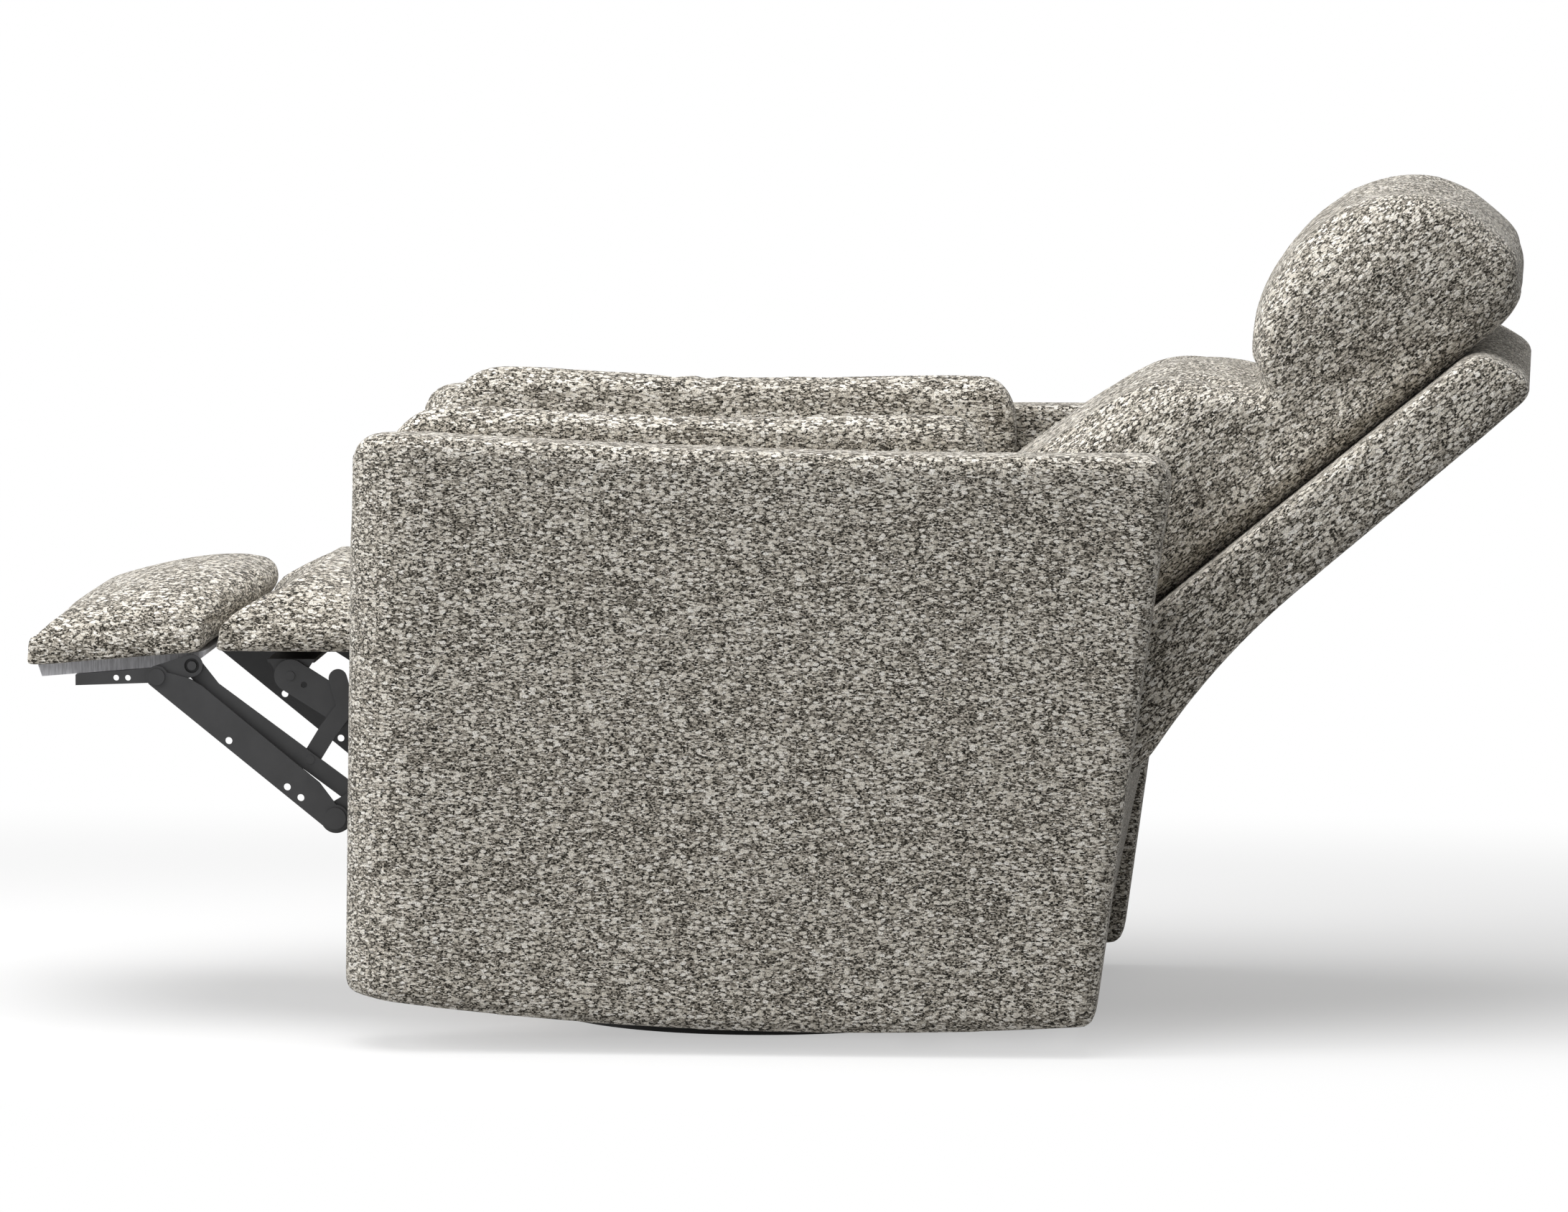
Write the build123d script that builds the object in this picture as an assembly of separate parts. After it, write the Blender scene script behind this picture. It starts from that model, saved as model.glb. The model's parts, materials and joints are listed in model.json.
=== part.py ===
"""Swivel glider recliner, reclined, footrest out. Millimetres, +Z up.

The seat faces -Y and the sitter's left is +X. The origin is the swivel axis on the floor.
"""
import math
import os

from build123d import *

os.makedirs("parts", exist_ok=True)

# Overall sizes
body_width = 840.0
panel_thickness = 80.0
wall_thickness = 63.0
fit_gap = 0.3
running_gap = 0.05
plate = 4.0
layer_pitch = 6.0

# Arm panel outline, seen from the side
arm_front = -433.0
arm_front_top = -424.0
arm_rear_low = 388.0
arm_rear_top = 474.0
arm_low_y = 110.0
arm_low_z = 25.0
arm_bottom_radius = 4050.0
arm_top_front = 676.0
arm_top_middle = 660.0
arm_top_rear = 655.0
arm_wrap = 33.0
arm_front_round = 70.0
arm_edge_round = 14.0
arm_corner_round = 36.0
arm_corner_turn = 58.0
arm_top_middle_y = -60.0
arm_inner_round = 25.0
arm_rear_top_round = 30.0
arm_rear_low_round = 14.0
arm_over = 50.0

# Arm wall and arm pad
wall_low = 300.0
wall_top = 600.0
pad_top_front = 694.0
pad_top_rear = 687.0
pad_crown = 14.0
pad_rear = 269.0
pad_front_round = 72.0
pad_rear_round = 36.0
pad_end_drop = 46.0
pad_end_narrow = 6.0

# Back: the hinge line, the lean at rest and the profile measured from the hinge
hinge_y = 364.0
hinge_z = 385.0
back_lean = 39.2
back_clear = 13.7
shell_front = 20.0
shell_top = 578.0
shell_slant = 28.0
shell_rear_top = 56.0
shell_bend = 260.0
shell_rear_bend = 62.0
tail_radius = 104.0
shell_tail = 50.0
shell_side_round = 12.0
shell_front_round = 30.0
shell_rear_round = 14.0
cushion_back = shell_front + fit_gap
cushion_clear = 15.0
crease_u = 364.0
crease_n = 104.0
crease_gap = 8.0
head_top = 673.0
head_front = 228.0
lumbar_front = 230.0
hinge_pin = 6.0

# Rear panel
rear_panel_thickness = 22.0
rear_panel_top = 330.0
rear_panel_low = 40.0
rear_panel_top_y = 430.0
rear_panel_low_y = 368.0
rear_panel_clear = 3.5

# Seat
seat_front = -345.0
seat_rear = 116.0
seat_clear = 9.0
seat_low = 380.0
seat_crown = 488.0
seat_edge = 462.0
deck_thickness = 13.4
bar_low = 340.0
bar_width = 21.0
bar_clear = 2.0

# Footrest pads
foot_clear = 15.0
foot_low = 421.5
foot_fall = 17.5
foot_front = -796.0
foot_bulge = 6.0
foot_draw = 2.0
foot_joint = -594.5
foot_joint_gap = 4.0
foot_rear = -385.0
foot_band = 35.0
foot_joint_band = 27.0
foot_joint_rise = 28.0
foot_crown = 86.0
foot_peak = 45.0
middle_crown = 88.5
middle_peak = 130.0
board_inset = 18.0
board_thickness = 13.0
board_front = -784.0
middle_board_half = 150.0
middle_board_thickness = 9.0
bracket_front = -741.0
bracket_flange = 46.0
middle_flange = 118.0
middle_flange_half = 26.0

# Footrest linkage pivots in the side plane
drive_pivot = (-252.0, 358.0)
lower_pivot = (-453.0, 239.0)
upper_offset = 34.0
foot_pivot = (-650.0, 394.0)
foot_second = (-612.0, 406.0)
flip_pivot = (-400.0, 454.0)
middle_pivot = (-505.0, 394.0)
middle_end = (-347.0, 287.4)
control_pivot = (-482.1, 302.7)
control_end = (-452.0, 392.0)
rivet = 5.0
rivet_head = 9.0
loose_hole = 8.2

# Base, swivel and glide
base_radius = 240.0
floor_pad_height = 8.0
base_plate = 6.0
spindle = 18.0
spindle_top = 60.0
ring_inner = 90.0
ring_outer = 130.0
ring_height = 5.4
turntable_radius = 165.0
stand_x = 136.0
swing_x = 146.0
rail_x = 156.0
rail_width = 8.0
swing_y = 130.0
swing_top = 205.0
swing_length = 130.0
beam_y = 190.0
beam_depth = 30.0
beam_low = 62.0
beam_height = 30.0

# Release on the outside of the right arm
cup_y = -115.0
cup_z = 515.0
cup_wide = 90.0
cup_tall = 90.0
cup_deep = 24.0
cup_wall = 3.0
lever_thick = 6.0
lever_pin = 3.0

half_width = body_width / 2
panel_inner = half_width - panel_thickness
wall_outer = panel_inner - fit_gap
wall_inner = panel_inner - wall_thickness
side_plate_outer = wall_inner - fit_gap
side_plate_inner = side_plate_outer - plate
back_half = wall_outer - back_clear
cushion_half = wall_inner - cushion_clear
seat_half = wall_inner - seat_clear
foot_half = wall_inner - foot_clear
board_half = foot_half - board_inset
link_layers = 6
bar_outer = foot_half - (link_layers - 1) * layer_pitch - plate - bar_clear
bar_inner = bar_outer - bar_width


def block(x0, x1, y0, y1, z0, z1):
    solid = Box(x1 - x0, y1 - y0, z1 - z0)
    return Pos((x0 + x1) / 2, (y0 + y1) / 2, (z0 + z1) / 2) * solid


def rod(point, radius, x0, x1):
    cylinder = Rot(0, 90, 0) * Cylinder(radius, x1 - x0)
    return Pos((x0 + x1) / 2, point[0], point[1]) * cylinder


def side_plane(x):
    return Plane(origin=(x, 0, 0), x_dir=(0, 1, 0), z_dir=(1, 0, 0))


def back_plane(x):
    lean = math.radians(back_lean)
    along = (0, math.cos(lean), math.sin(lean))
    return Plane(origin=(x, hinge_y, hinge_z), x_dir=along, z_dir=(1, 0, 0))


def slab(edges, x0, x1):
    return extrude(side_plane(x0) * make_face(edges), amount=x1 - x0)


def outline(points):
    return Polyline(*points, close=True)


def strap_face(points, width):
    face = Pos(*points[0]) * Circle(width / 2)
    for start, end in zip(points[:-1], points[1:]):
        run = math.hypot(end[0] - start[0], end[1] - start[1])
        turn = math.degrees(math.atan2(end[1] - start[1], end[0] - start[0]))
        middle = ((start[0] + end[0]) / 2, (start[1] + end[1]) / 2)
        face += Pos(*middle) * Rot(0, 0, turn) * Rectangle(run, width)
        face += Pos(*end) * Circle(width / 2)
    return face


def strap(points, width, x0, x1, holes=()):
    face = strap_face(points, width)
    for centre, radius in holes:
        face -= Pos(*centre) * Circle(radius)
    return extrude(side_plane(x0) * face, amount=x1 - x0)


def layer(index):
    outer = foot_half - index * layer_pitch
    return outer - plate, outer


def save(solid, name):
    export_step(solid, "parts/" + name + ".step")


def save_pair(solid, name):
    save(solid, name + "_left")
    save(mirror(solid, about=Plane.YZ), name + "_right")


# Base: a rubber pad on the floor, a plate with the spindle and a thrust ring
plate_low = floor_pad_height + fit_gap
plate_high = plate_low + base_plate
ring_low = plate_high + fit_gap
ring_high = ring_low + ring_height
table_low = ring_high + fit_gap
table_high = table_low + base_plate
floor_pad = Pos(0, 0, floor_pad_height / 2) * Cylinder(base_radius - 2, floor_pad_height)
save(floor_pad, "floor_pad")
base = Pos(0, 0, (plate_low + plate_high) / 2) * Cylinder(base_radius, base_plate)
base += Pos(0, 0, (plate_high + spindle_top) / 2) * Cylinder(spindle, spindle_top - plate_high)
base = chamfer(base.edges().group_by(Axis.Z)[-1], 2)
save(base, "base_plate")
ring = Cylinder(ring_outer, ring_height) - Cylinder(ring_inner, ring_height)
save(Pos(0, 0, (ring_low + ring_high) / 2) * ring, "thrust_ring")

# Turntable with its hub, the two stands and the tie rods between them
hub_top = spindle_top - 4
table = Pos(0, 0, (table_low + table_high) / 2) * Cylinder(turntable_radius, base_plate)
table += Pos(0, 0, (table_high + hub_top) / 2) * Cylinder(spindle + 14, hub_top - table_high)
table -= Pos(0, 0, hub_top / 2) * Cylinder(spindle + running_gap, hub_top * 2)
save(table, "turntable_plate")
foot_z = table_high + fit_gap
stand_half = swing_y - 35
stand_points = [
    (-stand_half, foot_z),
    (stand_half, foot_z),
    (stand_half, swing_top - 40),
    (swing_y, swing_top - 16),
    (swing_y, swing_top + 10),
    (-swing_y, swing_top + 10),
    (-swing_y, swing_top - 16),
    (-stand_half, swing_top - 40),
]
stand = slab(outline(stand_points), stand_x, stand_x + plate)
for end in (-swing_y, swing_y):
    stand += rod((end, swing_top), 16, stand_x, stand_x + plate)
    stand += rod((end, swing_top), hinge_pin, stand_x, swing_x + plate + 2)
window = [(-60, 70), (60, 70), (60, 130), (-60, 130)]
stand -= slab(outline(window), stand_x - 1, stand_x + plate + 1)
stand += block(stand_x - 34, stand_x + plate, -stand_half, stand_half, foot_z, foot_z + 6)
save_pair(stand, "stand")
tie = rod((0, 168), 9, fit_gap - stand_x, stand_x - fit_gap)
save(tie, "tie_rod")

# Swing links that hang from the stands, each pair held by a rod
swing_low = swing_top - swing_length
for end, name in ((-swing_y, "front_swing"), (swing_y, "rear_swing")):
    pivots = [(end, swing_top), (end, swing_low)]
    holes = [(pivot, hinge_pin + running_gap) for pivot in pivots]
    link = strap(pivots, 30, swing_x, swing_x + plate, holes)
    swing = link + mirror(link, about=Plane.YZ)
    swing += rod((end, swing_top - swing_length / 2), 8, -swing_x - 1, swing_x + 1)
    save(swing, name)

# Carriage under the seat: rails on the swing links, beams across, posts, bars and rails
rail_half = beam_y - beam_depth / 2 - fit_gap
rail = block(rail_x, rail_x + rail_width, -rail_half, rail_half, beam_low, beam_low + beam_height)
for end in (-swing_y, swing_y):
    rail += rod((end, swing_low), hinge_pin, swing_x - 2, rail_x)
save_pair(rail, "glide_rail")
for place, name in ((-beam_y, "front_beam"), (beam_y, "rear_beam")):
    beam_front = place - beam_depth / 2
    beam_top = beam_low + beam_height
    beam = block(-wall_outer, wall_outer, beam_front, beam_front + beam_depth, beam_low, beam_top)
    save(beam, name)
bar_high = seat_low - deck_thickness - 2 * fit_gap
bar_front = seat_front + 30
bar_rear = seat_rear + 90
post_front = -beam_y - beam_depth / 2
post = block(bar_inner, bar_outer, post_front, post_front + beam_depth, beam_top + fit_gap, bar_low - fit_gap)
save_pair(post, "seat_post")
save_pair(block(bar_inner, bar_outer, bar_front, bar_rear, bar_low, bar_high), "seat_bar")
rail_x1 = bar_inner - fit_gap
front_rail = block(-rail_x1, rail_x1, bar_front, bar_front + 24, bar_low, bar_high)
save(front_rail, "front_seat_rail")
rail_x1 = wall_inner - fit_gap
rail_front = bar_rear + fit_gap
rear_rail = block(-rail_x1, rail_x1, rail_front, rail_front + 24, bar_low, bar_high)
save(rear_rail, "rear_seat_rail")
deck_low = bar_high + fit_gap
deck = block(-bar_outer, bar_outer, bar_front, rail_front + 24, deck_low, deck_low + deck_thickness)
save(deck, "seat_deck")


def pad_section(x, front, rear, low, edge, crown, bulge):
    middle = (low + edge) / 2
    lines = [
        Line((rear, low), (front, low)),
        ThreePointArc((front, low), (front - bulge, middle), (front, edge)),
        ThreePointArc((front, edge), ((front + rear) / 2, crown), (rear, edge)),
        ThreePointArc((rear, edge), (rear + bulge, middle), (rear, low)),
    ]
    return side_plane(x) * make_face(lines)


def pad(half, front, rear, low, crown, edge_drop, bulge, draw):
    edge = crown - edge_drop
    sections = []
    for share, shrink, fall in ((-1, 1, 1), (-0.93, 0.35, 0.4), (-0.6, 0, 0.06), (0, 0, 0)):
        sections.append((share, shrink, fall))
    for share, shrink, fall in sections[-2::-1]:
        sections.append((-share, shrink, fall))
    faces = []
    for share, shrink, fall in sections:
        end = draw * shrink
        top = crown - fall * (crown - low) * 0.5
        side = edge - fall * (edge - low) * 0.5
        face = pad_section(share * half, front + bulge + end, rear - bulge - end, low, side, top, bulge)
        faces.append(face)
    return loft(faces)


# Seat cushion
save(pad(seat_half, seat_front, seat_rear, seat_low, seat_crown, seat_crown - seat_edge, 9, 6), "seat_cushion")


def crowned_section(x, ends, lows, edges, peak, top):
    front, rear = ends
    front_edge = lows[0] + edges[0]
    rear_edge = lows[1] + edges[1]
    high = lows[0] + (lows[1] - lows[0]) * (peak - front) / (rear - front) + top
    swell = 0.8
    front_mid = ((front + peak) / 2, front_edge + swell * (high - front_edge))
    rear_mid = ((peak + rear) / 2, rear_edge + swell * (high - rear_edge))
    lines = [
        Line((rear, lows[1]), (front, lows[0])),
        Line((front, lows[0]), (front, front_edge)),
        ThreePointArc((front, front_edge), front_mid, (peak, high)),
        ThreePointArc((peak, high), rear_mid, (rear, rear_edge)),
        Line((rear, rear_edge), (rear, lows[1])),
    ]
    return side_plane(x) * make_face(lines)


# Across its width a footrest pad rises from a low boxed side to its crown
crown_stations = [(-1, 0.08), (-0.94, 0.3), (-0.8, 0.57), (-0.5, 0.86), (0, 1)]
crown_stations += [(-place, rise) for place, rise in crown_stations[-2::-1]]


def foot_section_low(y):
    return foot_low - foot_fall * (foot_joint - y) / (foot_joint - foot_front)


# The two footrest pads, end to end; the front one tips down towards its toe
front_end = foot_joint - foot_joint_gap / 2
rear_end = foot_joint + foot_joint_gap / 2
foot_faces = []
middle_faces = []
for place, rise in crown_stations:
    joint_edge = foot_joint_band + rise * foot_joint_rise
    toe = foot_front + foot_draw * place ** 4
    foot_top = foot_band + 3 + rise * (foot_crown - foot_band - 3)
    lows = (foot_section_low(toe), foot_section_low(front_end))
    edges = (foot_band, joint_edge)
    face = crowned_section(place * foot_half, (toe, front_end), lows, edges, front_end - foot_peak, foot_top)
    foot_faces.append(face)
    middle_top = foot_band + 3 + rise * (middle_crown - foot_band - 3)
    edges = (joint_edge, joint_edge)
    lows = (foot_low, foot_low)
    face = crowned_section(place * foot_half, (rear_end, foot_rear), lows, edges, rear_end + middle_peak, middle_top)
    middle_faces.append(face)
save(loft(foot_faces), "foot_pad")
save(loft(middle_faces), "middle_pad")


# Arm panels: curved foot, leaning rear edge, the front wrapped round to the inside
def arm_bottom(y):
    return arm_low_z + (y - arm_low_y) ** 2 / (2 * arm_bottom_radius)


arm_ahead = arm_front - 2 * arm_over
corner_turn = math.radians(arm_corner_turn)
corner_y = arm_front_top + arm_corner_round
corner_mid = (
    corner_y - arm_corner_round * math.sin(corner_turn / 2),
    arm_top_front - arm_corner_round * (1 - math.cos(corner_turn / 2)),
)
corner_end = (
    corner_y - arm_corner_round * math.sin(corner_turn),
    arm_top_front - arm_corner_round * (1 - math.cos(corner_turn)),
)
slope_end = (arm_ahead, corner_end[1] - (corner_end[0] - arm_ahead) * math.tan(corner_turn))
low_front = (arm_ahead, arm_bottom(arm_ahead))
low_rear = (arm_rear_low, arm_bottom(arm_rear_low))
top_rear = (arm_rear_top, arm_top_rear)
top_front = (corner_y, arm_top_front)
arm_lines = [
    ThreePointArc(low_front, (arm_low_y, arm_low_z), low_rear),
    Line(low_rear, top_rear),
    ThreePointArc(top_rear, (arm_top_middle_y, arm_top_middle), top_front),
    ThreePointArc(top_front, corner_mid, corner_end),
    Line(corner_end, slope_end),
    Line(slope_end, low_front),
]
arm_face = make_face(arm_lines)
rear_corners = arm_face.vertices().filter_by(lambda corner: corner.X > arm_low_y)
arm_face = fillet(rear_corners.sort_by(Axis.Y)[-1], arm_rear_top_round)
rear_corners = arm_face.vertices().filter_by(lambda corner: corner.X > arm_low_y)
arm_face = fillet(rear_corners.sort_by(Axis.Y)[0], arm_rear_low_round)
arm = extrude(side_plane(wall_inner - arm_over) * arm_face, amount=half_width - wall_inner + 2 * arm_over)
round_out = arm_front_round * (1 - math.sqrt(0.5))
round_in = arm_inner_round * (1 - math.sqrt(0.5))
far = arm_rear_top + arm_over
plan_lines = [
    Line((half_width, far), (wall_inner, far)),
    Line((wall_inner, far), (wall_inner, arm_front + arm_inner_round)),
    ThreePointArc(
        (wall_inner, arm_front + arm_inner_round),
        (wall_inner + round_in, arm_front + round_in),
        (wall_inner + arm_inner_round, arm_front),
    ),
    Line((wall_inner + arm_inner_round, arm_front), (half_width - arm_front_round, arm_front)),
    ThreePointArc(
        (half_width - arm_front_round, arm_front),
        (half_width - round_out, arm_front + round_out),
        (half_width, arm_front + arm_front_round),
    ),
    Line((half_width, arm_front + arm_front_round), (half_width, far)),
]
front_lean = (arm_front_top - arm_front) / (arm_top_front - arm_bottom(arm_front))
arm_tall = arm_top_front + 2 * arm_over
plan = extrude(make_face(plan_lines), amount=arm_tall, dir=(0, front_lean, 1))
arm &= Pos(0, -front_lean * arm_over, -arm_over) * plan
hollow_rear = far + arm_over
arm -= block(wall_inner - arm_over, panel_inner, arm_front + arm_wrap, hollow_rear, -arm_over, arm_tall)
outside = arm.faces().filter_by(lambda face: abs(face.center().X - half_width) < 0.5)
outside = outside.sort_by(SortBy.AREA)[-1]
tangent_y = arm_front + arm_front_round
soft = outside.edges().filter_by(
    lambda edge: abs(edge.center().Y - tangent_y) > arm_edge_round or edge.length < arm_top_front / 2
)
arm = fillet(soft, arm_edge_round)
save(arm, "arm_panel_left")

# The right arm has a recess for the release cup
right_arm = mirror(arm, about=Plane.YZ)
cup_y0 = cup_y - cup_wide / 2
cup_y1 = cup_y + cup_wide / 2
cup_z0 = cup_z - cup_tall / 2
cup_z1 = cup_z + cup_tall / 2
cup_back = cup_deep - half_width
recess = block(-half_width - 1, cup_back, cup_y0, cup_y1, cup_z0, cup_z1)
right_arm -= recess
save(right_arm, "arm_panel_right")
cup_outer = block(
    -half_width - 2,
    cup_back - fit_gap,
    cup_y0 + fit_gap,
    cup_y1 - fit_gap,
    cup_z0 + fit_gap,
    cup_z1 - fit_gap,
)
cup = cup_outer - block(
    -half_width - 3,
    cup_back - cup_wall,
    cup_y0 + cup_wall,
    cup_y1 - cup_wall,
    cup_z0 + cup_wall,
    cup_z1 - cup_wall,
)
pin_x = -half_width + 7
pin_z = cup_z1 - 14
bore = Pos(pin_x, cup_y, pin_z) * Rot(90, 0, 0) * Cylinder(lever_pin + running_gap, cup_wide - 2)
cup -= bore
save(cup, "release_cup")
lever_half = cup_wide / 2 - cup_wall - 3
lever = block(
    pin_x - lever_thick / 2,
    pin_x + lever_thick / 2,
    cup_y - lever_half,
    cup_y + lever_half,
    cup_z0 + 22,
    pin_z,
)
lever += Pos(pin_x, cup_y, pin_z) * Rot(90, 0, 0) * Cylinder(lever_thick / 2 + 2, lever_half * 2)
lever += Pos(pin_x, cup_y, pin_z) * Rot(90, 0, 0) * Cylinder(lever_pin, cup_wide - 2.6)
save(lever, "release_lever")

# Arm walls and the pads on them
wall_front = arm_front + arm_wrap + fit_gap
wall = block(wall_inner, wall_outer, wall_front, pad_rear, wall_low, wall_top)
wall = fillet(wall.edges().filter_by(Axis.Z).group_by(Axis.Y)[-1], 12)
save_pair(wall, "arm_wall")


def arm_pad_section(y, top, narrow):
    x0 = wall_inner + narrow
    x1 = wall_outer
    low = wall_top + fit_gap
    shoulder = top - pad_crown
    lines = [
        Line((x0, low), (x1, low)),
        Line((x1, low), (x1, shoulder)),
        ThreePointArc((x1, shoulder), ((x0 + x1) / 2, top), (x0, shoulder)),
        Line((x0, shoulder), (x0, low)),
    ]
    return Plane(origin=(0, y, 0), x_dir=(1, 0, 0), z_dir=(0, -1, 0)) * make_face(lines)


# Each end of an arm pad rounds down over a quarter of an ellipse
pad_faces = []
end_steps = 6
for step in range(end_steps + 1):
    turn = math.radians(90 * step / end_steps)
    place = wall_front + pad_front_round * (1 - math.cos(turn))
    short = 1 - math.sin(turn)
    face = arm_pad_section(place, pad_top_front - pad_end_drop * short, pad_end_narrow * short)
    pad_faces.append(face)
for step in range(end_steps, -1, -1):
    turn = math.radians(90 * step / end_steps)
    place = pad_rear - pad_rear_round * (1 - math.cos(turn))
    short = 1 - math.sin(turn)
    face = arm_pad_section(place, pad_top_rear - pad_end_drop * short, pad_end_narrow * short)
    pad_faces.append(face)
save_pair(loft(pad_faces, ruled=True), "arm_pad")


# Back shell, its tail turned about the hinge line
def about_hinge(radius, degrees):
    turn = math.radians(degrees)
    return (-radius * math.sin(turn), -radius * math.cos(turn))


# The rear line bends out through an arc that meets both that line and the tail smoothly
shell_start = (-shell_front, shell_front)
front_top = (shell_top, shell_front)
rear_top = (shell_top + shell_slant, -shell_rear_top)
bend = (shell_bend, -shell_rear_bend)
bend_run = math.hypot(rear_top[0] - bend[0], rear_top[1] - bend[1])
bend_out = ((rear_top[1] - bend[1]) / bend_run, (bend[0] - rear_top[0]) / bend_run)
bend_level = bend[0] * bend_out[0] + bend[1] * bend_out[1]
bend_square = bend[0] ** 2 + bend[1] ** 2
bend_radius = (bend_square - tail_radius ** 2) / (2 * (tail_radius - bend_level))
bend_centre = (bend[0] + bend_radius * bend_out[0], bend[1] + bend_radius * bend_out[1])
tail_share = tail_radius / (tail_radius + bend_radius)
tail_start = (bend_centre[0] * tail_share, bend_centre[1] * tail_share)
tail_turn = math.degrees(math.atan2(-tail_start[0], -tail_start[1]))
half_way = ((bend[0] + tail_start[0]) / 2 - bend_centre[0], (bend[1] + tail_start[1]) / 2 - bend_centre[1])
half_run = math.hypot(half_way[0], half_way[1])
bend_middle = (
    bend_centre[0] + half_way[0] * bend_radius / half_run,
    bend_centre[1] + half_way[1] * bend_radius / half_run,
)
tail_end = about_hinge(tail_radius, shell_tail)
shell_lines = [
    Line(shell_start, front_top),
    Line(front_top, rear_top),
    Line(rear_top, bend),
    ThreePointArc(bend, bend_middle, tail_start),
    ThreePointArc(tail_start, about_hinge(tail_radius, (tail_turn + shell_tail) / 2), tail_end),
    Line(tail_end, shell_start),
]
shell_face = make_face(shell_lines)
top_corners = shell_face.vertices().filter_by(lambda corner: corner.X > shell_top - 1)
shell_face = fillet(top_corners.sort_by(Axis.Y)[-1], shell_front_round)
top_corners = shell_face.vertices().filter_by(lambda corner: corner.X > shell_top + 1)
shell_face = fillet(top_corners.sort_by(Axis.Y)[0], shell_rear_round)
low_corners = shell_face.vertices().filter_by(lambda corner: corner.X < -10)
shell_face = fillet(low_corners, shell_rear_round)
shell = extrude(back_plane(-back_half) * shell_face, amount=2 * back_half)
side_edges = shell.faces().sort_by(Axis.X)[-1].edges() + shell.faces().sort_by(Axis.X)[0].edges()
shell = fillet(side_edges, shell_side_round)
save(shell, "back_shell")


def cushion(make_lines, half, stations):
    faces = []
    for share, draw in stations:
        faces.append(back_plane(share * half) * make_face(make_lines(draw)))
    return loft(faces)


def head_lines(draw):
    top = head_top - draw
    front = head_front - draw
    back = cushion_back
    low = crease_u + crease_gap / 2
    return [
        Line((low, back), (top - 76, back)),
        ThreePointArc((top - 76, back), (top - 22, back + 17), (top, back + 62)),
        ThreePointArc((top, back + 62), (top - 2, front - 98), (top - 20, front - 44)),
        ThreePointArc((top - 20, front - 44), (top - 62, front - 12), (top - 127, front)),
        ThreePointArc((top - 127, front), (low + 68, front - 15), (low + 2, front - 68)),
        Line((low + 2, front - 68), (low, crease_n)),
        Line((low, crease_n), (low, back)),
    ]


def lumbar_lines(draw):
    front = lumbar_front - draw
    back = cushion_back
    high = crease_u - crease_gap / 2
    return [
        Line((high, back), (4, back)),
        Line((4, back), (-48, front - 20)),
        ThreePointArc((-48, front - 20), (-46, front - 10), (-34, front - 6)),
        ThreePointArc((-34, front - 6), (120, front), (high - 98, front - 18)),
        ThreePointArc((high - 98, front - 18), (high - 40, front - 50), (high - 5, front - 96)),
        Line((high - 5, front - 96), (high, crease_n)),
        Line((high, crease_n), (high, back)),
    ]


stations = [(-1, 26), (-0.94, 10), (-0.65, 1), (0, -2), (0.65, 1), (0.94, 10), (1, 26)]
save(cushion(head_lines, cushion_half, stations), "head_cushion")
save(cushion(lumbar_lines, cushion_half, stations), "lumbar_cushion")

# Back hinge: arms on the shell sides, plates on the arm panels
hinge = (hinge_y, hinge_z)
lean = math.radians(back_lean)
arm_tip = (hinge_y + 70 * math.cos(lean), hinge_z + 70 * math.sin(lean))
arm_x = back_half + fit_gap
back_arm = strap([hinge, arm_tip], 44, arm_x, arm_x + plate)
back_arm += rod(hinge, hinge_pin, arm_x, wall_outer - fit_gap)
save_pair(back_arm, "back_arm")
hinge_hole = [(hinge, hinge_pin + running_gap)]
hinge_plate = strap([hinge, (hinge_y - 60, hinge_z - 60)], 44, wall_outer - plate, wall_outer, hinge_hole)
save_pair(hinge_plate, "hinge_plate")

# Rear panel below the back
rear_points = [
    (rear_panel_top_y, rear_panel_top),
    (rear_panel_low_y, rear_panel_low),
    (rear_panel_low_y - rear_panel_thickness, rear_panel_low),
    (rear_panel_top_y - rear_panel_thickness, rear_panel_top),
]
rear_panel = slab(outline(rear_points), -wall_outer, wall_outer)
rear_panel -= rod(hinge, tail_radius + rear_panel_clear, -wall_outer - 1, wall_outer + 1)
save(rear_panel, "rear_panel")

# Footrest boards, brackets and side plates
def under_foot(y, depth):
    return (y, foot_section_low(y) - depth)


board_end = front_end - 2
board_depth = fit_gap + board_thickness
board_points = [
    under_foot(board_front, fit_gap),
    under_foot(board_end, fit_gap),
    under_foot(board_end, fit_gap + board_thickness / 3),
    under_foot(board_end - board_thickness, board_depth),
    under_foot(board_front + board_thickness / 3, board_depth),
]
save(slab(outline(board_points), -board_half, board_half), "foot_board")
bracket_in, bracket_out = layer(1)
lower_in, lower_out = layer(0)
flange_depth = board_depth + fit_gap
flange_rear = foot_pivot[0]
bar_points = [
    under_foot(bracket_front, flange_depth),
    under_foot(flange_rear, flange_depth),
    (flange_rear, foot_pivot[1] - 7),
    (bracket_front, foot_pivot[1] - 10.5),
]
flange_points = [
    under_foot(bracket_front, flange_depth),
    under_foot(flange_rear, flange_depth),
    under_foot(flange_rear, flange_depth + plate),
    under_foot(bracket_front, flange_depth + plate),
]
bracket = strap([foot_pivot, foot_second], 24, bracket_in, bracket_out)
bracket += slab(outline(bar_points), bracket_in, bracket_out)
for hole_y in (foot_pivot[0] - 46, foot_pivot[0] - 33):
    bracket -= rod((hole_y, foot_pivot[1] - 2), 3.3, bracket_in - 1, bracket_out + 1)
bracket += slab(outline(flange_points), bracket_in - bracket_flange, bracket_in + 1)
bracket -= rod(foot_second, loose_hole, bracket_in - 1, bracket_out + 1)
bracket += rod(foot_pivot, rivet, bracket_in, lower_out + 0.6)
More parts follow.
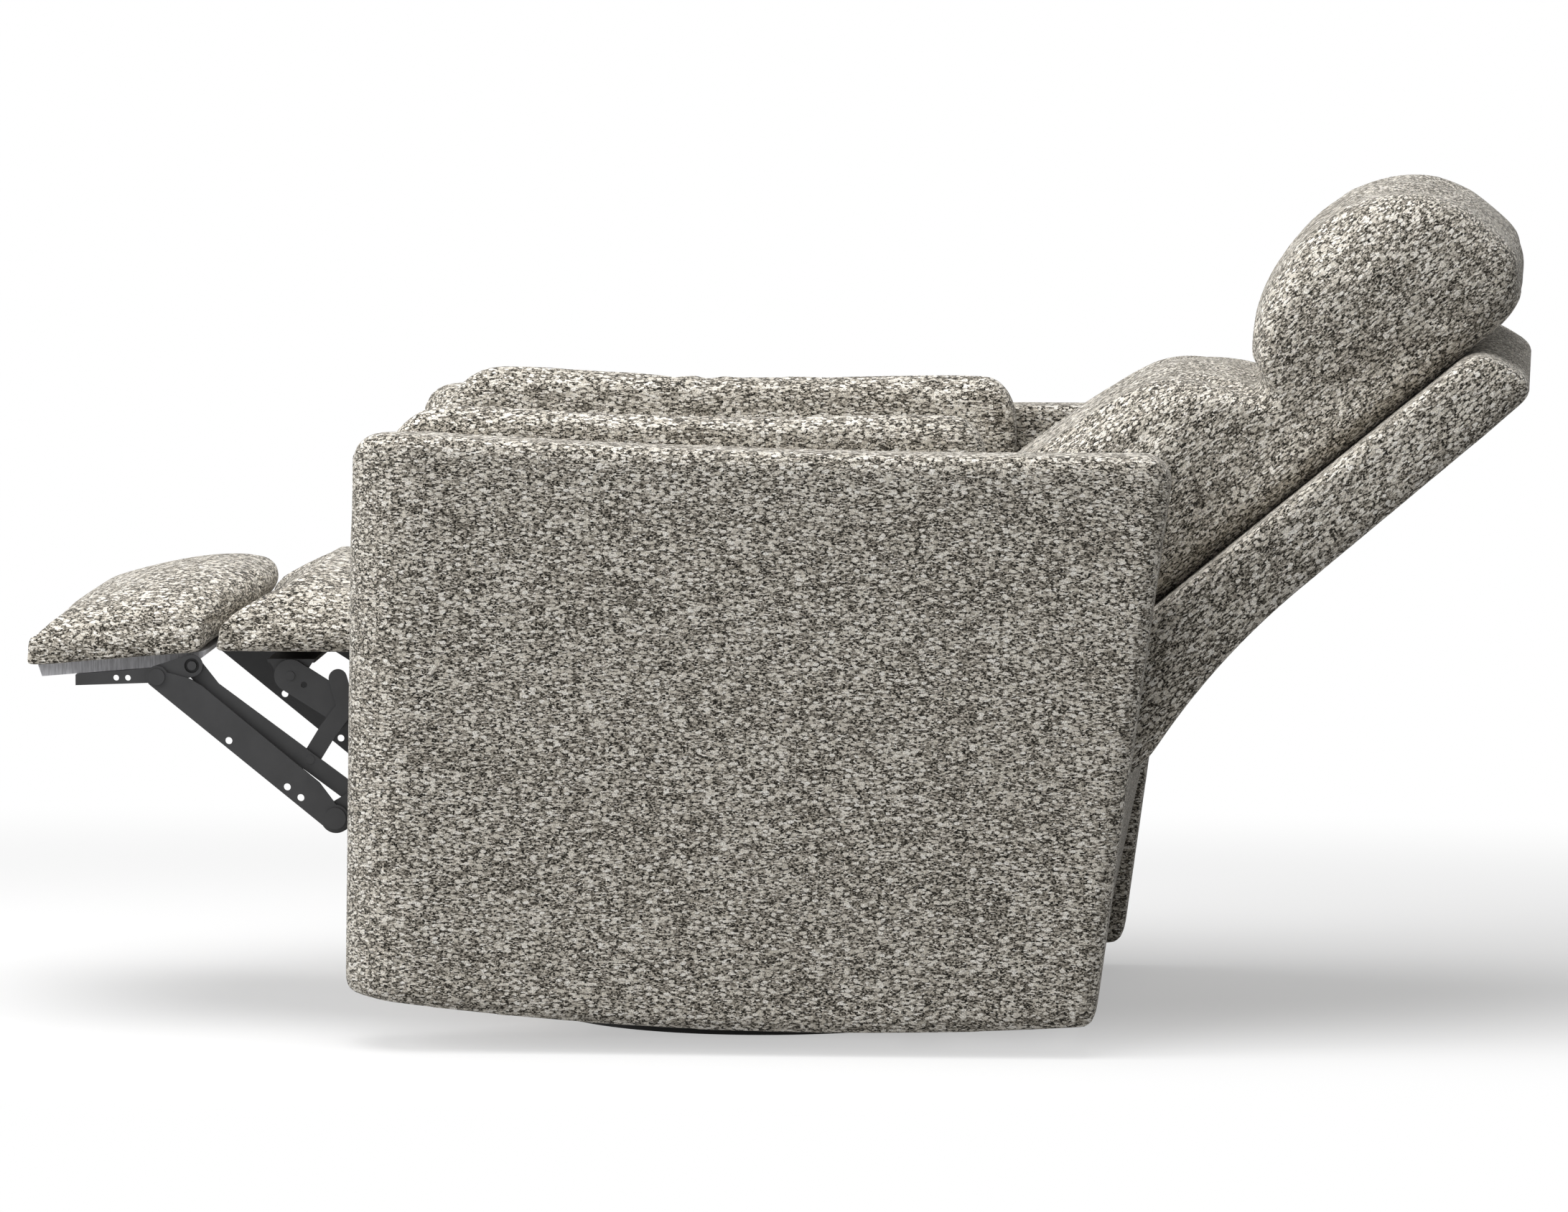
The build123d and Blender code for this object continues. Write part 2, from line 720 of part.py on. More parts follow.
bracket += rod(foot_pivot, rivet_head, lower_out + 0.6, lower_out + 3)
save_pair(bracket, "foot_bracket")
middle_high = foot_low - fit_gap
middle_low = middle_high - middle_board_thickness
tab_low = foot_rear - 42
tab_high = foot_rear - 10
ear_in = foot_half + 2
board_x = middle_board_half
middle_board = block(-board_x, board_x, rear_end + 3, tab_high, middle_low, middle_high)
middle_board += block(-ear_in, ear_in, tab_low, tab_high, middle_low, middle_high)
save(middle_board, "middle_board")
ear_out = ear_in + plate
ear_foot = ((tab_low + tab_high) / 2, (middle_low + middle_high) / 2)
ear_hole = [(flip_pivot, hinge_pin + running_gap)]
ear = strap([ear_foot, flip_pivot], 26, ear_in + fit_gap, ear_out, ear_hole)
save_pair(ear, "flip_ear")
mid_in, mid_out = layer(5)
link_in, link_out = layer(4)
flange_high = middle_low - fit_gap
mid_y0 = middle_pivot[0] - middle_flange_half
mid_y1 = middle_pivot[0] + middle_flange_half
mid_points = [
    (mid_y0, flange_high),
    (mid_y1, flange_high),
    (middle_pivot[0] + 12, middle_pivot[1] - 4),
    (middle_pivot[0] - 12, middle_pivot[1] - 4),
]
mid_bracket = slab(outline(mid_points), mid_in, mid_out)
mid_bracket += rod(middle_pivot, 13, mid_in, mid_out)
mid_bracket += block(mid_in - middle_flange, mid_out, mid_y0, mid_y1, flange_high - plate, flange_high)
mid_bracket += rod(middle_pivot, rivet, mid_in, link_out + 1.4)
save_pair(mid_bracket, "middle_bracket")
plate_path = [flip_pivot, (-330, 400), drive_pivot, (-190, 345)]
side_plate = strap(plate_path, 40, side_plate_inner, side_plate_outer)
drive_in, drive_out = layer(1)
side_plate += rod(drive_pivot, hinge_pin, drive_in - 1.5, side_plate_inner)
side_plate += rod(flip_pivot, hinge_pin, ear_in - 1, side_plate_inner)
save_pair(side_plate, "side_plate")

# Footrest links, outermost first
reach = math.hypot(drive_pivot[0] - lower_pivot[0], drive_pivot[1] - lower_pivot[1])
share = upper_offset / reach
upper_pivot = (
    lower_pivot[0] + share * (drive_pivot[0] - lower_pivot[0]),
    lower_pivot[1] + share * (drive_pivot[1] - lower_pivot[1]),
)
upper_in, upper_out = layer(2)
drive = strap([drive_pivot, lower_pivot], 34, drive_in, drive_out, [(drive_pivot, hinge_pin + running_gap)])
drive += rod(lower_pivot, rivet, drive_in, lower_out + 0.6)
drive += rod(lower_pivot, rivet_head + 3, lower_out + 0.6, lower_out + 3)
drive += rod(upper_pivot, rivet, upper_in - 0.4, drive_out)
drive += rod(upper_pivot, rivet_head, upper_in - 2.4, upper_in - 0.4)
drive -= rod(middle_end, loose_hole, drive_in - 1, drive_out + 1)
save_pair(drive, "drive_link")


def along(start, end, distance):
    run = math.hypot(end[0] - start[0], end[1] - start[1])
    return (
        start[0] + distance / run * (end[0] - start[0]),
        start[1] + distance / run * (end[1] - start[1]),
    )


def beside(start, end, distance, offset):
    run = math.hypot(end[0] - start[0], end[1] - start[1])
    step = ((end[0] - start[0]) / run, (end[1] - start[1]) / run)
    return (
        start[0] + distance * step[0] + offset * step[1],
        start[1] + distance * step[1] - offset * step[0],
    )


# The lower link stands out further above its pivot line than below it
lower_run = math.hypot(foot_pivot[0] - lower_pivot[0], foot_pivot[1] - lower_pivot[1])
lower_shape = [(0, -15), (lower_run, -12), (lower_run, 8), (lower_run - 30, 21), (lower_run - 46, 23), (38, 20), (0, 10)]
lower_points = [beside(lower_pivot, foot_pivot, place, offset) for place, offset in lower_shape]
lower_face = make_face(outline(lower_points))
lower_face += Pos(*lower_pivot) * Circle(15)
lower_face += Pos(*foot_pivot) * Circle(12)
lower_face -= Pos(*lower_pivot) * Circle(rivet + running_gap)
lower_face -= Pos(*foot_pivot) * Circle(rivet + running_gap)
for place in (44, 63, 145):
    lower_face -= Pos(*beside(lower_pivot, foot_pivot, place, -6)) * Circle(4)
save_pair(extrude(side_plane(lower_in) * lower_face, amount=plate), "lower_link")
upper_holes = [(upper_pivot, rivet + running_gap), (control_pivot, rivet + running_gap)]
upper_run = math.hypot(foot_second[0] - upper_pivot[0], foot_second[1] - upper_pivot[1])
upper_knee = beside(upper_pivot, foot_second, upper_run - 34, -8)
upper = strap([upper_pivot, upper_knee, foot_second], 20, upper_in, upper_out, upper_holes)
upper += rod(foot_second, rivet, upper_in, bracket_out + 0.6)
save_pair(upper, "upper_link")
control_in, control_out = layer(3)
control_path = [control_pivot, (-463, 334), (-443, 360), control_end]
control = strap(control_path, 20, control_in, control_out)
control += rod(control_pivot, rivet, control_in, upper_out + 0.6)
save_pair(control, "control_link")
middle_holes = [(middle_pivot, rivet + running_gap), (along(middle_pivot, middle_end, 18), 3.6)]
middle_knee = beside(middle_pivot, middle_end, 110, -4)
middle_link = strap([middle_pivot, middle_knee], 36, link_in, link_out, middle_holes)
middle_link += strap([middle_knee, middle_end], 26, link_in, link_out)
middle_link += rod(middle_end, rivet, link_in, link_out + 2)
save_pair(middle_link, "middle_link")
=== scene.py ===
"""Looks of the swivel glider recliner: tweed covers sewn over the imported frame.

Metres, in the frame's own axes: the seat faces -Y, the sitter's left is +X, the floor is Z 0.
Sizes of the covers and yarns are written in millimetres, those of the studio in metres.
"""
import json
import math

import bmesh
import bpy
import numpy as np
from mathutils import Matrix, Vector


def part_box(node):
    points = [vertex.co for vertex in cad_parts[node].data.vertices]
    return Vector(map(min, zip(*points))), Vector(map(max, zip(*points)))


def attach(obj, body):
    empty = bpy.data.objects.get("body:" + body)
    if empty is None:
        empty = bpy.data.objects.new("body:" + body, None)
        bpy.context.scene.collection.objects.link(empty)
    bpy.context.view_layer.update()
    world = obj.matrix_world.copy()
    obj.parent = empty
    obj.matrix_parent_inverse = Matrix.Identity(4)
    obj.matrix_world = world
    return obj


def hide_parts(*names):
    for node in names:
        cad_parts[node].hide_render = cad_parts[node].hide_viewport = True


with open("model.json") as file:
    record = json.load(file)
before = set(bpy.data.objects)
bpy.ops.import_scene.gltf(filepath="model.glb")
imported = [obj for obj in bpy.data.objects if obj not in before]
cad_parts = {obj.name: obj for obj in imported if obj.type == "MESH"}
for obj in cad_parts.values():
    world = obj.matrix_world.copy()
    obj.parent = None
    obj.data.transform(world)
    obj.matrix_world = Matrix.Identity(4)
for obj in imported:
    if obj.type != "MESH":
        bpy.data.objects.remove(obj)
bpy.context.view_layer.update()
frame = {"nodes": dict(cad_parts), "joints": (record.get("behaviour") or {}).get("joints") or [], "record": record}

scene = bpy.context.scene
scene.view_settings.view_transform = "Standard"
MM = 0.001

# The back turns about this line, and leans back by this much as photographed
HINGE = Vector(next(joint["pos_m"] for joint in frame["joints"] if joint["name"] == "recline"))
BACK_LEAN = math.radians(39.2)
UP_BACK = Vector((0, math.cos(BACK_LEAN), math.sin(BACK_LEAN)))
OUT_OF_BACK = Vector((0, -math.sin(BACK_LEAN), math.cos(BACK_LEAN)))


def on_back(x, up, out):
    """A point of the back: across, up from the hinge line and out of the backrest, in mm."""
    return Vector((x * MM, 0, 0)) + HINGE + UP_BACK * up * MM + OUT_OF_BACK * out * MM


# Materials


def linear(code):
    """An sRGB hex colour as linear RGBA."""
    shares = [int(code[i:i + 2], 16) / 255 for i in (1, 3, 5)]
    return tuple(c / 12.92 if c <= 0.04045 else ((c + 0.055) / 1.055) ** 2.4 for c in shares) + (1.0,)


def set_stops(band, stops):
    """Give a colour ramp its (place, hex) stops."""
    while len(band) < len(stops):
        band.new(0.5)
    for element, (place, code) in zip(band, stops):
        element.position = place
        element.color = linear(code)


# Places of the two colours and the result among the sockets of a colour mix
MIX_A, MIX_B, MIX_OUT = 6, 7, 2


def add(tree, kind, settings, sockets):
    """A node with its settings, and each socket set to a value or linked to another node's output.
    The setting called stops is a colour ramp's (place, hex) stops."""
    made = tree.nodes.new(kind)
    for name, value in settings.items():
        if name == "stops":
            set_stops(made.color_ramp.elements, value)
        else:
            setattr(made, name, value)
    for name, value in sockets.items():
        if isinstance(value, bpy.types.NodeSocket):
            tree.links.new(value, made.inputs[name])
        else:
            made.inputs[name].default_value = value
    return made


def fresh(name):
    """An empty node material, its tree, its shader joined to the output, and the place on the piece."""
    material = bpy.data.materials.new(name)
    material.use_nodes = True
    tree = material.node_tree
    tree.nodes.clear()
    shader = add(tree, "ShaderNodeBsdfPrincipled", {}, {})
    add(tree, "ShaderNodeOutputMaterial", {}, {"Surface": shader.outputs["BSDF"]})
    place = add(tree, "ShaderNodeTexCoord", {}, {}).outputs["Object"]
    return material, tree, shader, place


def per_mm(*sizes):
    """The scale at which a pattern repeats over these sizes in mm."""
    return tuple(1 / (size * MM) for size in sizes)


# Tweed yarn: cells across the cloth, along the weft and tall, in mm
GROUND_FLOAT = (2.0, 2.1, 1.2)
FLECK = (4.0, 4.4, 1.7)
SLUB = (8, 9, 4.8)
LOOSE_ROWS = 0.75
# The yarn wanders by about 0.6 mm each way over 6 mm
WANDER = 1.3
WANDER_SPAN = 6
# Drifts about 45 mm wide where the flecks lie thicker
DRIFT_SPAN = 45
DRIFT_PULL = 0.4
FLECK_STARTS, FLECK_FULL = 0.9, 0.98
# A slub is a lump in the middle of its cell, in three cells of ten
SLUB_FULL, SLUB_ENDS = 0.32, 0.44
SLUB_LEFT_OUT = 0.7
# Fibre fuzz, drawn at 1.3 mm because the real fibres are too fine to show.
# Its noise scales the yarn's colour, from half in the hollows of its relief to 1.3 times on its raised fibres.
# This is the fibres' own uneven tone together with painted shade in the hollows and painted highlight on the
# raised fibres.
FUZZ_SPAN = 1.3
FUZZ_TONE_AND_SHADE, FUZZ_TONE_AND_HIGHLIGHT = 0.5, 1.3
RAISED_BY = 0.6
GROUND_YARN = [(0.0, "#0e0c09"), (0.25, "#3b372f"), (0.5, "#7d776d"), (0.78, "#b3ac9f"), (1.0, "#e0d9cd")]
SLUB_YARN = [(0.0, "#d3ccbf"), (0.5, "#eee8dd"), (1.0, "#fdf9f2")]


def yarn_cells(tree, vector, size):
    """Cells of yarn of this size in mm, in loose rows: two draws for each, and how far from its middle."""
    sized = add(tree, "ShaderNodeMapping", {}, {"Vector": vector, "Scale": per_mm(*size)})
    cells = add(tree, "ShaderNodeTexVoronoi", {}, {
        "Vector": sized.outputs["Vector"], "Scale": 1.0, "Randomness": LOOSE_ROWS,
    })
    draw = add(tree, "ShaderNodeSeparateColor", {}, {"Color": cells.outputs["Color"]})
    return draw.outputs["Red"], draw.outputs["Green"], cells.outputs["Distance"]


def slub_tweed(name, lean):
    """Slub tweed, woven from greige yarn with pale slubs. The eye sees cream flecks, wider than tall,
    in drifts on a grey-brown ground with dark specks, dull, with a rough surface and a soft sheen.
    lean turns the weft to lie level across the back."""
    material, tree, shader, place = fresh(name)
    cloth = add(tree, "ShaderNodeMapping", {}, {"Vector": place, "Rotation": (-lean, 0, 0)}).outputs["Vector"]
    wander = add(tree, "ShaderNodeTexNoise", {}, {
        "Vector": cloth, "Scale": per_mm(WANDER_SPAN)[0], "Detail": 2.0,
    })
    level = add(tree, "ShaderNodeVectorMath", {"operation": "SUBTRACT"}, {
        0: wander.outputs["Color"], 1: (0.5, 0.5, 0.5),
    })
    sway = add(tree, "ShaderNodeVectorMath", {"operation": "SCALE"}, {
        0: level.outputs["Vector"], "Scale": WANDER * MM,
    })
    yarn = add(tree, "ShaderNodeVectorMath", {"operation": "ADD"}, {
        0: cloth, 1: sway.outputs["Vector"],
    }).outputs["Vector"]
    drift = add(tree, "ShaderNodeTexNoise", {}, {
        "Vector": cloth, "Scale": per_mm(DRIFT_SPAN)[0], "Detail": 1.0,
    })

    ground_draw, ground_lie, _ = yarn_cells(tree, yarn, GROUND_FLOAT)
    ground = add(tree, "ShaderNodeValToRGB", {"stops": GROUND_YARN}, {"Fac": ground_draw})

    fleck_draw, fleck_tone, _ = yarn_cells(tree, yarn, FLECK)
    fleck_chance = add(tree, "ShaderNodeMath", {"operation": "MULTIPLY_ADD"}, {
        0: drift.outputs["Fac"], 1: DRIFT_PULL, 2: fleck_draw,
    })
    fleck = add(tree, "ShaderNodeMapRange", {"interpolation_type": "SMOOTHSTEP"}, {
        "Value": fleck_chance.outputs["Value"], "From Min": FLECK_STARTS, "From Max": FLECK_FULL,
    })
    fleck_colour = add(tree, "ShaderNodeValToRGB", {"stops": SLUB_YARN}, {"Fac": fleck_tone})
    flecked = add(tree, "ShaderNodeMix", {"data_type": "RGBA"}, {
        "Factor": fleck.outputs["Result"],
        MIX_A: ground.outputs["Color"], MIX_B: fleck_colour.outputs["Color"],
    })

    slub_draw, slub_tone, slub_off = yarn_cells(tree, yarn, SLUB)
    lump = add(tree, "ShaderNodeMapRange", {"interpolation_type": "SMOOTHSTEP"}, {
        "Value": slub_off, "From Min": SLUB_FULL, "From Max": SLUB_ENDS, "To Min": 1.0, "To Max": 0.0,
    })
    chosen = add(tree, "ShaderNodeMath", {"operation": "GREATER_THAN"}, {0: slub_draw, 1: SLUB_LEFT_OUT})
    slub = add(tree, "ShaderNodeMath", {"operation": "MULTIPLY"}, {
        0: lump.outputs["Result"], 1: chosen.outputs["Value"],
    })
    slub_colour = add(tree, "ShaderNodeValToRGB", {"stops": SLUB_YARN}, {"Fac": slub_tone})
    dyed = add(tree, "ShaderNodeMix", {"data_type": "RGBA"}, {
        "Factor": slub.outputs["Value"], MIX_A: flecked.outputs[MIX_OUT], MIX_B: slub_colour.outputs["Color"],
    })

    fuzz = add(tree, "ShaderNodeTexNoise", {}, {
        "Vector": cloth, "Scale": per_mm(FUZZ_SPAN)[0], "Detail": 2.0,
    })
    # The fuzz darkens the colour where its relief is low and lightens it where the relief is high. This is painted
    # shade and painted highlight over the fibres' own uneven tone.
    fuzz_tone_and_shade = add(tree, "ShaderNodeMapRange", {}, {
        "Value": fuzz.outputs["Fac"], "From Min": 0.3, "From Max": 0.7,
        "To Min": FUZZ_TONE_AND_SHADE, "To Max": FUZZ_TONE_AND_HIGHLIGHT,
    })
    toned_and_shaded = add(tree, "ShaderNodeVectorMath", {"operation": "SCALE"}, {
        0: dyed.outputs[MIX_OUT], "Scale": fuzz_tone_and_shade.outputs["Result"],
    })
    tree.links.new(toned_and_shaded.outputs["Vector"], shader.inputs["Base Color"])

    raised = add(tree, "ShaderNodeMath", {"operation": "MAXIMUM"}, {
        0: fleck.outputs["Result"], 1: slub.outputs["Value"],
    })
    lie = add(tree, "ShaderNodeMath", {"operation": "MULTIPLY_ADD"}, {
        0: raised.outputs["Value"], 1: RAISED_BY, 2: ground_lie,
    })
    height = add(tree, "ShaderNodeMath", {"operation": "ADD"}, {
        0: lie.outputs["Value"], 1: fuzz.outputs["Fac"],
    })
    relief = add(tree, "ShaderNodeBump", {}, {
        "Height": height.outputs["Value"], "Strength": 0.5, "Distance": 0.7 * MM,
    })
    tree.links.new(relief.outputs["Normal"], shader.inputs["Normal"])
    shader.inputs["Roughness"].default_value = 0.92
    shader.inputs["Specular IOR Level"].default_value = 0.2
    shader.inputs["Sheen Weight"].default_value = 0.12
    shader.inputs["Sheen Roughness"].default_value = 0.5
    return material


# Streaks of the lining: across, across and along, in mm
LINING_STREAK = (1.6, 1.6, 14)
LINING_SHADES = [(0.3, "#b9b9bd"), (0.5, "#d2d2d6"), (0.72, "#e9e9ed")]


def heather_lining():
    """Non-woven polyester lining, needled. The eye sees grey felt with paler streaks, quite dull."""
    material, tree, shader, place = fresh("heather_lining_needled")
    run = add(tree, "ShaderNodeMapping", {}, {"Vector": place, "Scale": per_mm(*LINING_STREAK)})
    streaks = add(tree, "ShaderNodeTexNoise", {}, {
        "Vector": run.outputs["Vector"], "Scale": 1.0, "Detail": 3.0,
    })
    colour = add(tree, "ShaderNodeValToRGB", {"stops": LINING_SHADES}, {"Fac": streaks.outputs["Fac"]})
    tree.links.new(colour.outputs["Color"], shader.inputs["Base Color"])
    relief = add(tree, "ShaderNodeBump", {}, {
        "Height": streaks.outputs["Fac"], "Strength": 0.3, "Distance": 0.4 * MM,
    })
    tree.links.new(relief.outputs["Normal"], shader.inputs["Normal"])
    shader.inputs["Roughness"].default_value = 0.9
    shader.inputs["Sheen Weight"].default_value = 0.1
    return material


# Orange peel of the coat and the clouds in its gloss, in mm
PEEL_SPAN = 1.5
CLOUD_SPAN = 30
COAT_SHADES = [(0.3, "#2c2c2d"), (0.7, "#383839")]


def coated_steel():
    """Pressed steel, powder coated black. The eye sees charcoal with a satin gloss and fine orange peel."""
    material, tree, shader, place = fresh("steel_powder_coated")
    peel = add(tree, "ShaderNodeTexNoise", {}, {
        "Vector": place, "Scale": per_mm(PEEL_SPAN)[0], "Detail": 2.0,
    })
    cloud = add(tree, "ShaderNodeTexNoise", {}, {
        "Vector": place, "Scale": per_mm(CLOUD_SPAN)[0], "Detail": 3.0,
    })
    colour = add(tree, "ShaderNodeValToRGB", {"stops": COAT_SHADES}, {"Fac": cloud.outputs["Fac"]})
    tree.links.new(colour.outputs["Color"], shader.inputs["Base Color"])
    gloss = add(tree, "ShaderNodeMapRange", {}, {
        "Value": cloud.outputs["Fac"], "To Min": 0.4, "To Max": 0.55,
    })
    tree.links.new(gloss.outputs["Result"], shader.inputs["Roughness"])
    relief = add(tree, "ShaderNodeBump", {}, {
        "Height": peel.outputs["Fac"], "Strength": 0.12, "Distance": 0.15 * MM,
    })
    tree.links.new(relief.outputs["Normal"], shader.inputs["Normal"])
    shader.inputs["IOR"].default_value = 1.5
    return material


# Grain of the pine: along, along and from line to line, in mm
PINE_GRAIN = (60, 60, 7)
PINE_SHADES = [(0.3, "#b98f5c"), (0.48, "#d3ad78"), (0.55, "#c39a66"), (0.7, "#dfbf8e")]


def planed_pine():
    """Pine frame timber, planed and left bare. The eye sees honey-coloured wood with darker grain lines."""
    material, tree, shader, place = fresh("pine_planed")
    run = add(tree, "ShaderNodeMapping", {}, {"Vector": place, "Scale": per_mm(*PINE_GRAIN)})
    rings = add(tree, "ShaderNodeTexNoise", {}, {
        "Vector": run.outputs["Vector"], "Scale": 1.0, "Detail": 4.0, "Distortion": 0.6,
    })
    colour = add(tree, "ShaderNodeValToRGB", {"stops": PINE_SHADES}, {"Fac": rings.outputs["Fac"]})
    tree.links.new(colour.outputs["Color"], shader.inputs["Base Color"])
    relief = add(tree, "ShaderNodeBump", {}, {
        "Height": rings.outputs["Fac"], "Strength": 0.2, "Distance": 0.3 * MM,
    })
    tree.links.new(relief.outputs["Normal"], shader.inputs["Normal"])
    shader.inputs["Roughness"].default_value = 0.62
    return material


SPARK_SPAN = 0.9
ABS_SHADES = [(0.3, "#1b1b1c"), (0.7, "#242425")]


def moulded_abs():
    """ABS, moulded with a fine spark grain. The eye sees near-black plastic, dull on its flats."""
    material, tree, shader, place = fresh("abs_moulded_black")
    spark = add(tree, "ShaderNodeTexNoise", {}, {
        "Vector": place, "Scale": per_mm(SPARK_SPAN)[0], "Detail": 2.0,
    })
    colour = add(tree, "ShaderNodeValToRGB", {"stops": ABS_SHADES}, {"Fac": spark.outputs["Fac"]})
    tree.links.new(colour.outputs["Color"], shader.inputs["Base Color"])
    relief = add(tree, "ShaderNodeBump", {}, {
        "Height": spark.outputs["Fac"], "Strength": 0.25, "Distance": 0.12 * MM,
    })
    tree.links.new(relief.outputs["Normal"], shader.inputs["Normal"])
    shader.inputs["Roughness"].default_value = 0.48
    shader.inputs["IOR"].default_value = 1.53
    return material


BLOOM_SPAN = 18
RUBBER_SHADES = [(0.35, "#1c1c1c"), (0.75, "#2e2d2c")]


def pressed_rubber():
    """Rubber, pressed. The eye sees dark grey, dull, with a dusty bloom in patches."""
    material, tree, shader, place = fresh("rubber_pressed")
    bloom = add(tree, "ShaderNodeTexNoise", {}, {
        "Vector": place, "Scale": per_mm(BLOOM_SPAN)[0], "Detail": 5.0,
    })
    colour = add(tree, "ShaderNodeValToRGB", {"stops": RUBBER_SHADES}, {"Fac": bloom.outputs["Fac"]})
    tree.links.new(colour.outputs["Color"], shader.inputs["Base Color"])
    relief = add(tree, "ShaderNodeBump", {}, {
        "Height": bloom.outputs["Fac"], "Strength": 0.2, "Distance": 0.3 * MM,
    })
    tree.links.new(relief.outputs["Normal"], shader.inputs["Normal"])
    shader.inputs["Roughness"].default_value = 0.8
    return material


level_tweed = slub_tweed("slub_tweed_woven", 0.0)
back_tweed = slub_tweed("slub_tweed_woven_on_back", BACK_LEAN)

# Rigid pieces keep their solids and take a finish.
# The deck shows behind the seat cushion, so it wears the tweed.
FINISH_OF_SLOT = {
    "lining": heather_lining(),
    "black_steel": coated_steel(),
    "frame_wood": planed_pine(),
    "black_plastic": moulded_abs(),
    "rubber": pressed_rubber(),
}
slot_of = {entry["node"]: entry["material_slot"] for entry in frame["record"]["subparts"]}
for node_name, cad in frame["nodes"].items():
    finish = level_tweed if node_name == "seat_deck" else FINISH_OF_SLOT.get(slot_of[node_name], level_tweed)
    cad.data.materials.clear()
    cad.data.materials.append(finish)


# Covers


def settle(piece):
    """Keep what the modifiers made as the piece's own mesh."""
    bpy.context.view_layer.update()
    shown = piece.evaluated_get(bpy.context.evaluated_depsgraph_get())
    made = bpy.data.meshes.new_from_object(shown)
    old = piece.data
    piece.modifiers.clear()
    piece.data = made
    bpy.data.meshes.remove(old)


def points_of(piece):
    spots = np.empty(len(piece.data.vertices) * 3)
    piece.data.vertices.foreach_get("co", spots)
    return spots.reshape(-1, 3)


def normals_of(piece):
    facing = np.empty(len(piece.data.vertices) * 3)
    piece.data.vertices.foreach_get("normal", facing)
    return facing.reshape(-1, 3)


def move_to(piece, spots):
    piece.data.vertices.foreach_set("co", spots.ravel())
    piece.data.update()


def fade(at, start, end):
    """From 0 at start to 1 at end, evenly, and no further."""
    return np.clip((at - start) / (end - start), 0, 1)


def swell(at, middle, reach):
    """A bulge: 1 at its middle, dying away over its reach."""
    return np.exp(-(((at - middle) / reach) ** 2))


MEET_WITHIN = 0.01
BLOCK_SIDES = ((0, 3, 2, 1), (4, 5, 6, 7), (0, 1, 5, 4), (1, 2, 6, 5), (2, 3, 7, 6), (3, 0, 4, 7))


def cover(name, nodes, voxel, passes, filler=()):
    """A cover over the solids of these nodes, with filler blocks joined in.
    Its edges are eased by passes of smoothing."""
    body = bmesh.new()
    for node_name in nodes:
        body.from_mesh(frame["nodes"][node_name].data)
    bmesh.ops.remove_doubles(body, verts=body.verts, dist=MEET_WITHIN * MM)
    for corners in filler:
        spots = [body.verts.new(corner) for corner in corners]
        for side in BLOCK_SIDES:
            body.faces.new([spots[i] for i in side])
    bmesh.ops.recalc_face_normals(body, faces=body.faces)
    cloth = bpy.data.meshes.new(name)
    body.to_mesh(cloth)
    body.free()
    piece = bpy.data.objects.new(name, cloth)
    scene.collection.objects.link(piece)
    skin = piece.modifiers.new("skin", "REMESH")
    skin.mode = "VOXEL"
    skin.voxel_size = voxel * MM
    even_out(piece, passes)
    return piece


def even_out(piece, passes, share=None):
    """Smooth a cover, all over or by the share given for each point."""
    ease = piece.modifiers.new("ease", "SMOOTH")
    ease.factor = 0.5
    ease.iterations = passes
    if share is not None:
        group = piece.vertex_groups.new(name="share")
        for point in np.flatnonzero(share > 0.02):
            group.add([int(point)], float(share[point]), "REPLACE")
        ease.vertex_group = group.name
    settle(piece)
    piece.vertex_groups.clear()


FILL_PRESSURE = 4.0
FILL_STEPS = 20


def stuff(piece, most, start, rests):
    """Fill a cover: take it in by start mm, blow it up, and let no point move more than most mm.
    rests gives the points that lie on something and stay."""
    spots = points_of(piece)
    spots -= normals_of(piece) * start * MM * (~rests(normals_of(piece)))[:, None]
    move_to(piece, spots)
    held = piece.vertex_groups.new(name="rests")
    held.add(np.flatnonzero(rests(normals_of(piece))).tolist(), 1.0, "REPLACE")
    fill = piece.modifiers.new("fill", "CLOTH")
    fill.settings.use_pressure = True
    fill.settings.uniform_pressure_force = FILL_PRESSURE
    fill.settings.effector_weights.gravity = 0.0
    fill.settings.vertex_group_mass = "rests"
    fill.settings.quality = 4
    fill.collision_settings.use_collision = False
    fill.point_cache.frame_start = 1
    fill.point_cache.frame_end = FILL_STEPS
    for step in range(1, FILL_STEPS + 1):
        scene.frame_set(step)
    bpy.context.view_layer.update()
    blown = piece.evaluated_get(bpy.context.evaluated_depsgraph_get())
    full = np.empty(len(spots) * 3)
    blown.data.vertices.foreach_get("co", full)
    piece.modifiers.clear()
    piece.vertex_groups.clear()
    scene.frame_set(1)
    moved = full.reshape(-1, 3) - spots
    far = np.linalg.norm(moved, axis=1, keepdims=True)
    move_to(piece, spots + moved * np.minimum(1.0, most * MM / np.maximum(far, 1e-9)))


def keep_inside(piece, node_name, proud):
    """Neighbours hold the cover in the box of its node, and it stands proud of the top by so many mm."""
    low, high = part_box(node_name)
    top = Vector(high) + Vector((0, 0, proud * MM))
    move_to(piece, np.clip(points_of(piece), np.array(low), np.array(top)))


def refine(piece):
    finer = piece.modifiers.new("finer", "SUBSURF")
    finer.levels = 1
    finer.render_levels = 1
    settle(piece)


def finish_cover(piece, nodes, body, tweed):
    """Dress a cover in its tweed, put it in place of its nodes and let it ride on its body."""
    piece.data.materials.clear()
    piece.data.materials.append(tweed)
    piece.data.polygons.foreach_set("use_smooth", [True] * len(piece.data.polygons))
    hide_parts(*nodes)
    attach(piece, body)


# Back cushion: head and lumbar in one cover, with a deep fold between them


def block_on_back(half, low, high, back, front):
    """Eight corners of a block on the back, in mm."""
    rim = ((-half, low), (half, low), (half, high), (-half, high))
    return [on_back(x, up, out) for out in (back, front) for x, up in rim]


